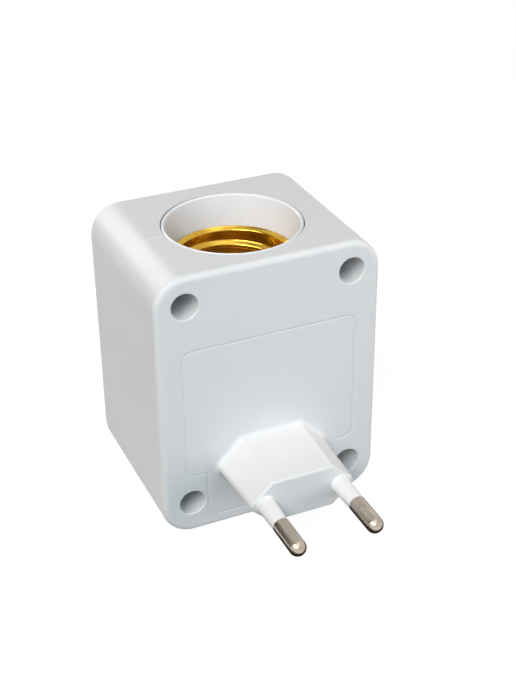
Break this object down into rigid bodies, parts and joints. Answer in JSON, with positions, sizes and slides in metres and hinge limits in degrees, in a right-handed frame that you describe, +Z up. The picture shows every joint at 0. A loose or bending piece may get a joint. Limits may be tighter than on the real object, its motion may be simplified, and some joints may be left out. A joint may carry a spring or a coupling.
{
  "type": "motion sensor lamp holder",
  "caption": "Box-shaped plug-in lamp holder with a screw lamp socket in its top, a flat mains plug on its rear and a domed motion sensor lens in its front.",
  "frame": {"origin": "where the lamp axis meets the flat base", "axes": "+Z up along the lamp axis, +Y along the plug pins, -Y towards the sensor lens"},
  "size_m": [0.055, 0.0874, 0.068],
  "materials": {
    "white_case": "satin",
    "white_socket": "satin",
    "white_sleeve": "satin",
    "plated_pin": "polished nickel plate",
    "gold_shell": "bright rolled sheet",
    "brass_contact": "plain sheet",
    "steel_screw": "zinc plate",
    "milky_lens": "milky",
    "green_board": "solder mask",
    "sensor_can": "plated can",
    "clear_dome": "clear",
    "black_case": "moulded",
    "blue_case": "moulded",
    "yellow_case": "moulded",
    "dark_sleeve": "shrink sleeve",
    "grey_ceramic": "lacquer",
    "brown_lead": "insulation",
    "blue_lead": "insulation"
  },
  "bodies": {
    "holder": {"front_housing": "white_case", "rear_housing": "white_case", "plug_plate": "white_case", "socket_body": "white_socket", "pin_sleeve_left": "white_sleeve", "pin_sleeve_right": "white_sleeve", "plug_pin_left": "plated_pin", "plug_pin_right": "plated_pin", "screw_shell": "gold_shell", "shell_terminal": "brass_contact", "contact_rivet": "brass_contact", "housing_screws": "steel_screw", "board_screws": "steel_screw", "lens_dome": "milky_lens", "circuit_board": "green_board", "motion_sensor": "sensor_can", "light_sensor": "clear_dome", "control_chip": "black_case", "voltage_regulator": "black_case", "bridge_rectifier": "black_case", "relay": "blue_case", "mains_capacitor": "yellow_case", "filter_capacitor": "dark_sleeve", "fuse_resistor": "grey_ceramic", "live_wire": "brown_lead", "lamp_wire": "brown_lead", "neutral_wire": "blue_lead"},
    "contact": {"centre_contact": "brass_contact"}
  },
  "joints": [
    {"name": "contact_flex", "type": "hinge", "parent": "holder", "child": "contact", "pos_m": [0, 0.006, 0.03575], "axis": [1, 0, 0], "range_deg": [0, 12], "stiffness_Nm_per_rad": 0.25, "deforming": ["centre_contact"]}
  ]
}
